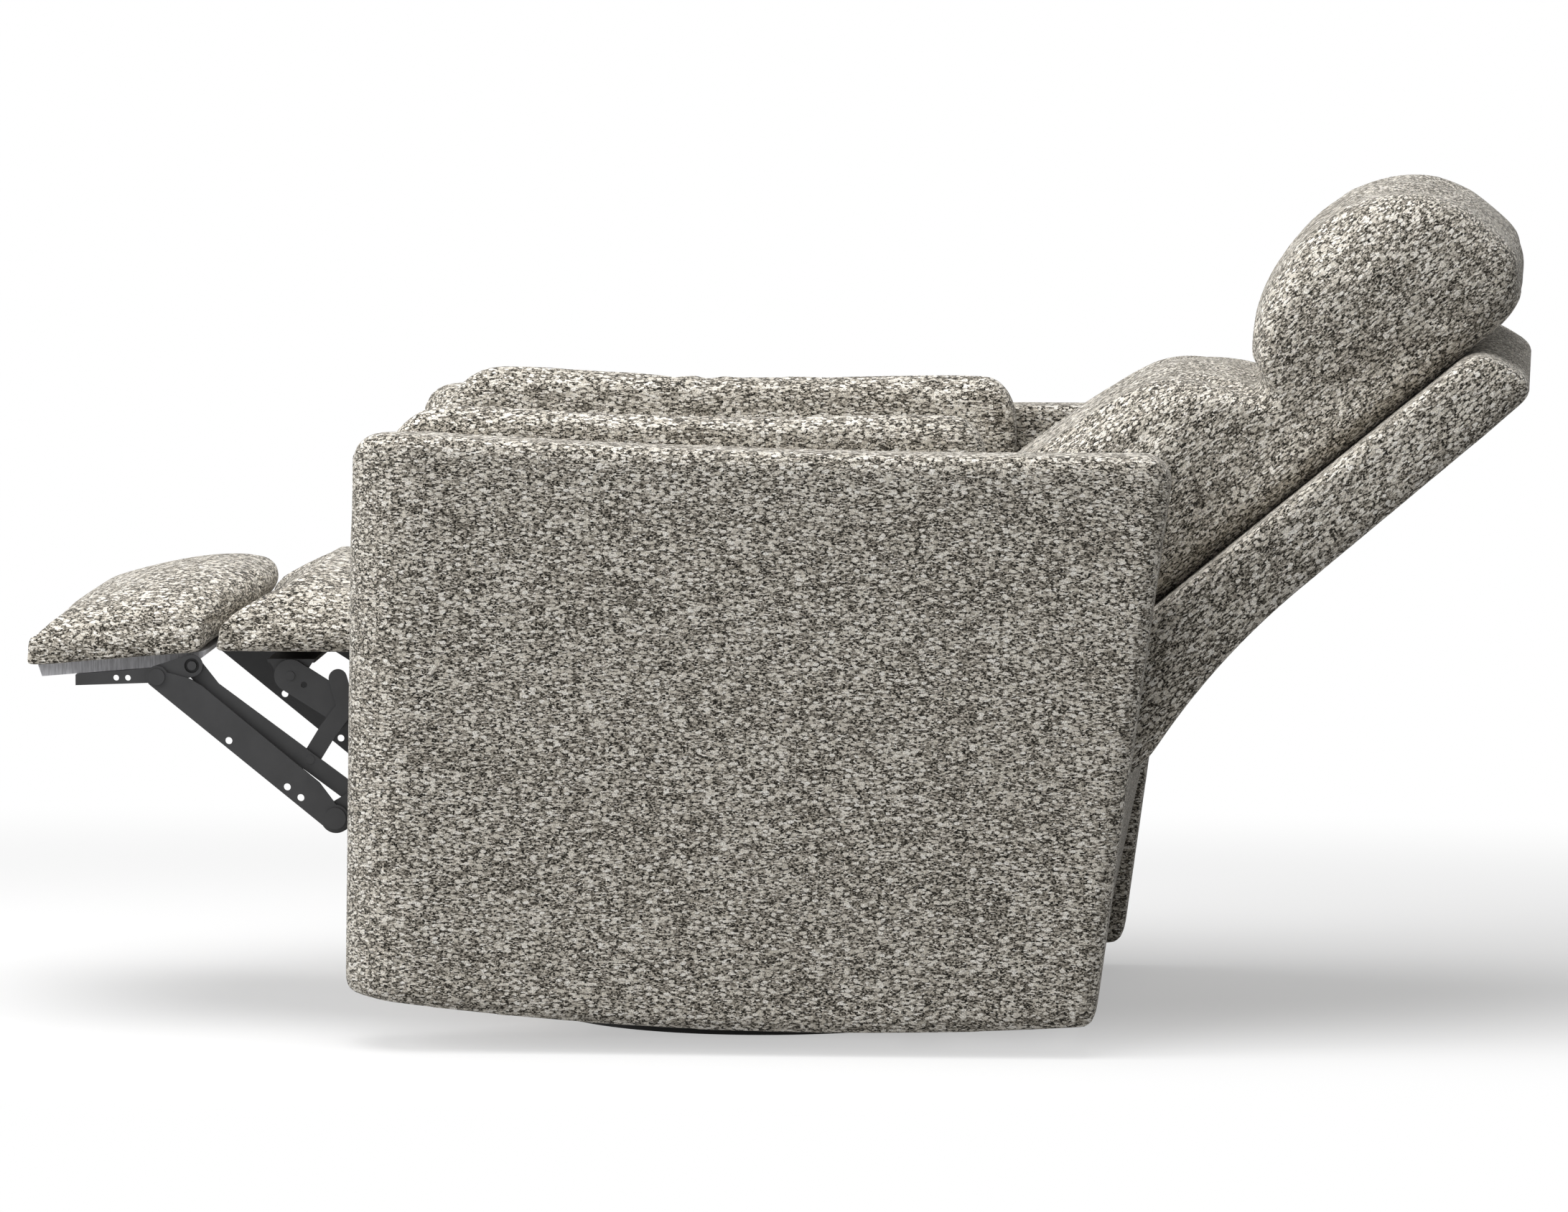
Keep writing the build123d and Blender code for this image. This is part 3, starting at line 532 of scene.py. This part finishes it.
def on_shell(facing):
    return facing @ np.array(OUT_OF_BACK) < -0.8


def up_and_out(spots):
    """How far up the back and out of it points lie, in mm."""
    from_hinge = spots - np.array(HINGE)
    return from_hinge @ np.array(UP_BACK) / MM, from_hinge @ np.array(OUT_OF_BACK) / MM


# The block in the fold that joins head and lumbar under the cover
FOLD_HALF, FOLD_LOW, FOLD_HIGH, FOLD_BACK, FOLD_FRONT = 254, 340, 388, 22, 96
# The head roll swells past the shell's end, most at this height out of the back
ROLL_SWELL = 8
ROLL_SWELL_FROM, ROLL_SWELL_TO = 560, 650
ROLL_SWELL_OUT, ROLL_SWELL_REACH = 62, 40
# The roll's upper front is drawn in by this share of its way to the roll's middle
ROLL_DRAWN = 0.03
ROLL_MIDDLE_UP, ROLL_MIDDLE_OUT = 510, 110
DRAWN_FROM_UP, DRAWN_TO_UP = 400, 460
DRAWN_FROM_OUT, DRAWN_TO_OUT = 140, 180
# The cover tucks under at its sides where it meets the shell
TUCK = 24
TUCK_STARTS_OUT, TUCK_FULL_OUT = 38, 21
TUCK_HALF = 240


def shape_back(piece):
    """The head roll hangs full over the shell's end, and the cover tucks under where it meets the shell."""
    spots = points_of(piece)
    up, out = up_and_out(spots)
    full = fade(up, ROLL_SWELL_FROM, ROLL_SWELL_TO) * swell(out, ROLL_SWELL_OUT, ROLL_SWELL_REACH)
    spots += ROLL_SWELL * MM * full[:, None] * np.array(UP_BACK)
    drawn = ROLL_DRAWN * fade(up, DRAWN_FROM_UP, DRAWN_TO_UP) * fade(out, DRAWN_FROM_OUT, DRAWN_TO_OUT)
    off = spots - np.array(on_back(0, ROLL_MIDDLE_UP, ROLL_MIDDLE_OUT))
    off[:, 0] = 0
    spots -= off * drawn[:, None]
    tuck = TUCK * MM * fade(out, TUCK_STARTS_OUT, TUCK_FULL_OUT)
    spots[:, 0] -= np.sign(spots[:, 0]) * tuck * fade(np.abs(spots[:, 0]), 0, TUCK_HALF * MM) ** 4
    move_to(piece, spots)


fold = block_on_back(FOLD_HALF, FOLD_LOW, FOLD_HIGH, FOLD_BACK, FOLD_FRONT)
back_cushion = cover("back_cushion", ["head_cushion", "lumbar_cushion"], voxel=7, passes=5, filler=[fold])
stuff(back_cushion, most=9, start=6, rests=on_shell)
shape_back(back_cushion)
even_out(back_cushion, 2)
finish_cover(back_cushion, ["head_cushion", "lumbar_cushion"], "back", back_tweed)

# Back shell in its outer cover, rounded towards its upper end
END_ROUND_FROM, END_ROUND_TO = 530, 570
shell_cover = cover("back_shell_cover", ["back_shell"], voxel=7, passes=4)
even_out(shell_cover, 26, fade(up_and_out(points_of(shell_cover))[0], END_ROUND_FROM, END_ROUND_TO))
finish_cover(shell_cover, ["back_shell"], "back", back_tweed)


# Seat cushion and footrest pads, flat on their boards


def on_boards(facing):
    return facing[:, 2] < -0.7


# Heights between which the footrest pads' tops are shaped
PAD_FOOT, PAD_CROWN = 425, 495
# The heel of the front pad, at the joint of the two pads
JOINT_Y = -594.5
HEEL_SWELL = 74
HEEL_REACH = 100
PAD_HALF = 262
# The slope to the toe, and the full front of the middle pad
TOE_SLOPE, TOE_SLOPE_Y, TOE_SLOPE_REACH = 7, -725, 45
MIDDLE_FULL, MIDDLE_FULL_Y, MIDDLE_FULL_REACH = 10, -548, 40
TOE_EDGE, TOE_FROM, TOE_TO = 8, -770, -792
# The seam round each pad, above its base
BAND_TALL = 33
SEAM_DEEP, SEAM_WIDE = 2.6, 4


def slope_pad(piece):
    """The front pad slopes to its toe and keeps a square edge there.
    The middle pad stands full at its front."""
    spots = points_of(piece)
    tall = fade(spots[:, 2], PAD_FOOT * MM, PAD_CROWN * MM)
    spots[:, 2] -= TOE_SLOPE * MM * tall * swell(spots[:, 1], TOE_SLOPE_Y * MM, TOE_SLOPE_REACH * MM)
    spots[:, 2] += MIDDLE_FULL * MM * tall * swell(spots[:, 1], MIDDLE_FULL_Y * MM, MIDDLE_FULL_REACH * MM)
    spots[:, 1] -= TOE_EDGE * MM * fade(spots[:, 1], TOE_FROM * MM, TOE_TO * MM) * (1 - tall)
    move_to(piece, spots)


def band_seam(piece, low_rear, low_front):
    """The seam round a boxed pad, above its base, which runs from low_rear to low_front in mm of height."""
    spots = points_of(piece)
    facing = normals_of(piece)
    share = (spots[:, 1].max() - spots[:, 1]) / np.ptp(spots[:, 1])
    above = spots[:, 2] / MM - low_rear - (low_front - low_rear) * share
    upright = np.clip(1 - np.abs(facing[:, 2]), 0, 1)
    deep = SEAM_DEEP * MM * upright * swell(above, BAND_TALL, SEAM_WIDE)
    move_to(piece, spots - facing * deep[:, None])


def lean_joint(piece):
    """The front pad is overstuffed, so its heel swells back over the middle pad, most along the middle."""
    spots = points_of(piece)
    rise = fade(spots[:, 2], PAD_FOOT * MM, PAD_CROWN * MM)
    near = swell(spots[:, 1], JOINT_Y * MM, HEEL_REACH * MM)
    inner = 1 - fade(np.abs(spots[:, 0]), 0, PAD_HALF * MM) ** 3
    spots[:, 1] += HEEL_SWELL * MM * rise * near * inner
    move_to(piece, spots)


# Name, node, body, how far it may fill and the heights of its base at rear and front, in mm
PADS = (
    ("seat_cover", "seat_cushion", "carriage", 10, None),
    ("foot_cover", "foot_pad", "footrest", 8, (421.5, 404)),
    ("middle_cover", "middle_pad", "middle_rest", 8, (421.5, 421.5)),
)
PAD_PROUD = 8
for name, node_name, body, most, base in PADS:
    pad = cover(name, [node_name], voxel=6, passes=4)
    stuff(pad, most, start=5, rests=on_boards)
    keep_inside(pad, node_name, PAD_PROUD)
    even_out(pad, 2)
    if base:
        refine(pad)
        slope_pad(pad)
        band_seam(pad, *base)
        lean_joint(pad)
    finish_cover(pad, [node_name], body, level_tweed)


# Arms: panel, inner wall and the pad on top, each side


def near_front(spots, reach):
    """From 0 at reach mm behind the front of a piece to 1 at its front."""
    front = spots[:, 1].min()
    return fade(spots[:, 1], front + reach * MM, front)


# The panel's front edge rolls in at its outer side
ROLL_IN, ROLL_IN_REACH = 9, 90
ROLL_IN_FROM, ROLL_IN_TO = 380, 410
# Its upper front is rounded back at its inner side, and its top drops
ROUND_BACK, ROUND_REACH = 40, 110
ROUND_LOW, ROUND_HIGH = 560, 660
ROUND_FROM, ROUND_TO = 370, 300
TOP_DROP, INNER_DROP = 6, 14
# The pad's front end is drawn back at its top and comes forward at its foot
PAD_END_REACH = 95
PAD_END_TOP, PAD_END_FOOT = 22, -10
# The pad's crown, at its ends and more in its middle
CROWN_ENDS, CROWN_MIDDLE = 5, 10
ARM_PAD_PROUD = 12


def roll_front(panel, side):
    """The arm's front edge is padded, so the panel rolls in towards its front."""
    spots = points_of(panel)
    outer = fade(spots[:, 0] * side, ROLL_IN_FROM * MM, ROLL_IN_TO * MM)
    spots[:, 0] -= side * ROLL_IN * MM * near_front(spots, ROLL_IN_REACH) ** 2 * outer
    move_to(panel, spots)


def round_inner_front(panel, side):
    """The arm's upper front is rounded back towards the seat, and its top drops to the front."""
    spots = points_of(panel)
    near = near_front(spots, ROUND_REACH)
    tall = fade(spots[:, 2], ROUND_LOW * MM, ROUND_HIGH * MM)
    inner = fade(spots[:, 0] * side, ROUND_FROM * MM, ROUND_TO * MM)
    spots[:, 1] += ROUND_BACK * MM * near * tall * inner
    spots[:, 2] -= (TOP_DROP + INNER_DROP * inner) * MM * near**2 * tall
    move_to(panel, spots)


def shape_arm_pad(pad):
    """The arm pad's front end is rounded by its cover, drawn back at its top.
    The pad fills out along its middle."""
    spots = points_of(pad)
    near = near_front(spots, PAD_END_REACH)
    tall = (spots[:, 2] - spots[:, 2].min()) / np.ptp(spots[:, 2])
    spots[:, 1] += (PAD_END_FOOT + (PAD_END_TOP - PAD_END_FOOT) * tall) * MM * near**2
    aft = (spots[:, 1] - spots[:, 1].min()) / np.ptp(spots[:, 1])
    spots[:, 2] += (CROWN_ENDS + CROWN_MIDDLE * np.sin(np.pi * aft)) * MM * tall
    move_to(pad, spots)


for side, hand in ((1, "left"), (-1, "right")):
    panel_node = "arm_panel_" + hand
    panel = cover("arm_cover_" + hand, [panel_node], voxel=7, passes=4)
    roll_front(panel, side)
    round_inner_front(panel, side)
    finish_cover(panel, [panel_node], "carriage", level_tweed)
    wall_node = "arm_wall_" + hand
    wall = cover("arm_wall_cover_" + hand, [wall_node], voxel=7, passes=3)
    finish_cover(wall, [wall_node], "carriage", level_tweed)
    pad_node = "arm_pad_" + hand
    pad = cover("arm_pad_cover_" + hand, [pad_node], voxel=5, passes=4)
    stuff(pad, most=15, start=2, rests=on_boards)
    keep_inside(pad, pad_node, ARM_PAD_PROUD)
    shape_arm_pad(pad)
    even_out(pad, 2)
    finish_cover(pad, [pad_node], "carriage", level_tweed)

# Rear panel below the back
rear_cover = cover("rear_panel_cover", ["rear_panel"], voxel=6, passes=3)
finish_cover(rear_cover, ["rear_panel"], "carriage", level_tweed)

# Floor, light and camera

WHITE = (1, 1, 1, 1)
FLOOR_REACH = 120.0
# What the floor gives back to the chair, and its colour to the eye
FLOOR_BOUNCE = "#b4b4b4"
FLOOR_SEEN = "#fcfcfc"
# The floor whitens from the near to the far distance, in an oval about the shadow
SHADOW_MIDDLE = (-0.6, -0.2, 0)
SHADOW_OVAL = (1.0, 1.9, 1.0)
WHITENS_FROM, WHITENS_TO = 0.6, 1.5
WHITE_AT_CHAIR, WHITE_AFAR = 0.36, 1.0
AMBIENT = 0.3


def seen_by_eye(tree):
    """1 where the eye looks, straight or by gloss or glass, and 0 where light only bounces."""
    path = add(tree, "ShaderNodeLightPath", {}, {})
    eye = add(tree, "ShaderNodeMath", {"operation": "ADD"}, {
        0: path.outputs["Is Camera Ray"], 1: path.outputs["Is Glossy Ray"],
    })
    seen = add(tree, "ShaderNodeMath", {"operation": "ADD", "use_clamp": True}, {
        0: eye.outputs["Value"], 1: path.outputs["Is Transmission Ray"],
    })
    return seen.outputs["Value"]


def studio_floor():
    """A white studio floor: painted board round the chair, which keeps the shadow, and white paper far off.
    To the eye the shadow is thinned by white.
    To the chair the floor gives back less light, as a grey board does."""
    material = bpy.data.materials.new("studio_floor_painted")
    material.use_nodes = True
    tree = material.node_tree
    tree.nodes.clear()
    paper = add(tree, "ShaderNodeEmission", {}, {"Color": WHITE, "Strength": 1.0})
    seen = seen_by_eye(tree)
    tint = add(tree, "ShaderNodeMix", {"data_type": "RGBA"}, {
        "Factor": seen, MIX_A: linear(FLOOR_BOUNCE), MIX_B: linear(FLOOR_SEEN),
    })
    paint = add(tree, "ShaderNodeBsdfDiffuse", {}, {"Color": tint.outputs[MIX_OUT]})
    spot = add(tree, "ShaderNodeNewGeometry", {}, {})
    aside = add(tree, "ShaderNodeMapping", {"vector_type": "TEXTURE"}, {
        "Vector": spot.outputs["Position"], "Location": SHADOW_MIDDLE, "Scale": SHADOW_OVAL,
    })
    off = add(tree, "ShaderNodeVectorMath", {"operation": "LENGTH"}, {0: aside.outputs["Vector"]})
    far = add(tree, "ShaderNodeMapRange", {"interpolation_type": "SMOOTHSTEP"}, {
        "Value": off.outputs["Value"], "From Min": WHITENS_FROM, "From Max": WHITENS_TO,
        "To Min": WHITE_AT_CHAIR, "To Max": WHITE_AFAR,
    })
    share = add(tree, "ShaderNodeMath", {"operation": "MULTIPLY"}, {0: far.outputs["Result"], 1: seen})
    both = add(tree, "ShaderNodeMixShader", {}, {
        "Fac": share.outputs["Value"], 1: paint.outputs["BSDF"], 2: paper.outputs["Emission"],
    })
    add(tree, "ShaderNodeOutputMaterial", {}, {"Surface": both.outputs["Shader"]})
    return material


floor_mesh = bpy.data.meshes.new("studio_floor")
corners = [(x * FLOOR_REACH, y * FLOOR_REACH, 0) for x, y in ((-1, -1), (1, -1), (1, 1), (-1, 1))]
floor_mesh.from_pydata(corners, [], [(0, 1, 2, 3)])
floor_mesh.materials.append(studio_floor())
floor = bpy.data.objects.new("studio_floor", floor_mesh)
scene.collection.objects.link(floor)


def studio_air():
    """Plain white air: a little fill light all round, and a white backdrop to the eye."""
    world = bpy.data.worlds.new("studio_air")
    world.use_nodes = True
    tree = world.node_tree
    tree.nodes.clear()
    fill_light = add(tree, "ShaderNodeBackground", {}, {"Color": WHITE, "Strength": AMBIENT})
    backdrop = add(tree, "ShaderNodeBackground", {}, {"Color": WHITE, "Strength": 1.0})
    both = add(tree, "ShaderNodeMixShader", {}, {
        "Fac": seen_by_eye(tree), 1: fill_light.outputs["Background"], 2: backdrop.outputs["Background"],
    })
    add(tree, "ShaderNodeOutputWorld", {}, {"Surface": both.outputs["Shader"]})
    return world


scene.world = studio_air()
CHAIR_MIDDLE = (0, 0, 0.5)


def softbox(name, place, wide, level):
    """A square soft lamp that lights a facing surface at the chair's middle to that share of plain white."""
    lamp = bpy.data.lights.new(name, "AREA")
    lamp.shape = "SQUARE"
    lamp.size = wide
    way = Vector(CHAIR_MIDDLE) - Vector(place)
    lamp.energy = level * (math.pi * way.length) ** 2
    box = bpy.data.objects.new(name, lamp)
    scene.collection.objects.link(box)
    box.location = place
    box.rotation_euler = way.to_track_quat("-Z", "Y").to_euler()
    box.visible_camera = False


softbox("overhead_softbox", (0.7, -0.5, 3.2), wide=3.0, level=1.2)
softbox("front_softbox", (1.6, -3.7, 2.2), wide=2.0, level=0.4)

# The photograph's side view, from 12 m with a long lens
AIM = Vector((0, 22.8 * MM, 452.8 * MM))
AZIMUTH = math.radians(94.16)
ELEVATION = math.radians(5.24)
EYE_REACH = 12.0
PHOTO_WIDTH = 2184
FOCAL_PIXELS = 14932
SENSOR_WIDTH = 36.0
towards_eye = Vector((
    math.sin(AZIMUTH) * math.cos(ELEVATION),
    -math.cos(AZIMUTH) * math.cos(ELEVATION),
    math.sin(ELEVATION),
))
lens = bpy.data.cameras.new("photo_camera")
lens.sensor_fit = "HORIZONTAL"
lens.sensor_width = SENSOR_WIDTH
lens.lens = FOCAL_PIXELS / PHOTO_WIDTH * SENSOR_WIDTH
lens.clip_end = 400.0
camera = bpy.data.objects.new("photo_camera", lens)
scene.collection.objects.link(camera)
camera.location = AIM + towards_eye * EYE_REACH
camera.rotation_euler = (-towards_eye).to_track_quat("-Z", "Y").to_euler()
scene.camera = camera
